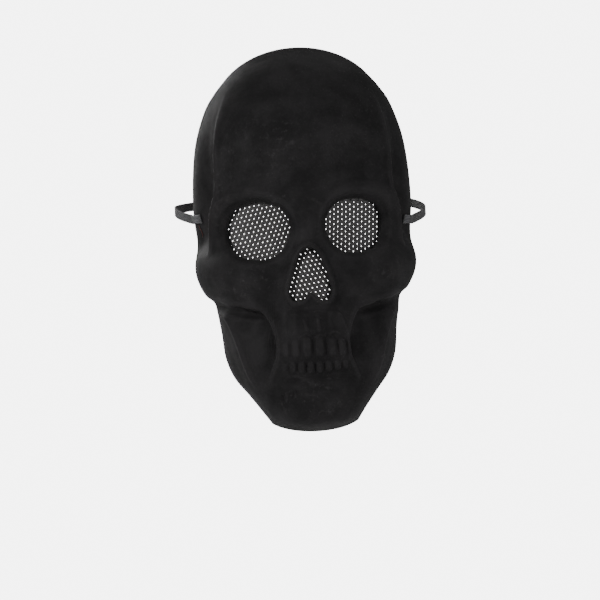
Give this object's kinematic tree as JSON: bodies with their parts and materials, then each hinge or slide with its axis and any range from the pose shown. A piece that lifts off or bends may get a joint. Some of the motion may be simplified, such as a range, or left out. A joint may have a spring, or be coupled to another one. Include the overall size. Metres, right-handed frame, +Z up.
{
  "type": "skull mask",
  "caption": "Moulded matte black skull face mask with knit net behind its eye and nose holes and an elastic strap that loops round the head",
  "frame": {"origin": "the seat of the mask on the face: the inside of the wall at the brow, in the middle between the eye holes", "axes": "+Z up towards the crown, -Y out of the face, +X to the right of someone who looks at the mask"},
  "size_m": [0.167, 0.209, 0.2528],
  "materials": {
    "shell": "soft dull black moulded plastic, faint rub marks",
    "net": "black knitted net, slightly shiny yarn",
    "strap": "black woven elastic, dull"
  },
  "bodies": {
    "root": {"mask_shell": "shell", "eye_net_left": "net", "eye_net_right": "net", "nose_net": "net", "elastic_strap": "strap"}
  },
  "joints": []
}
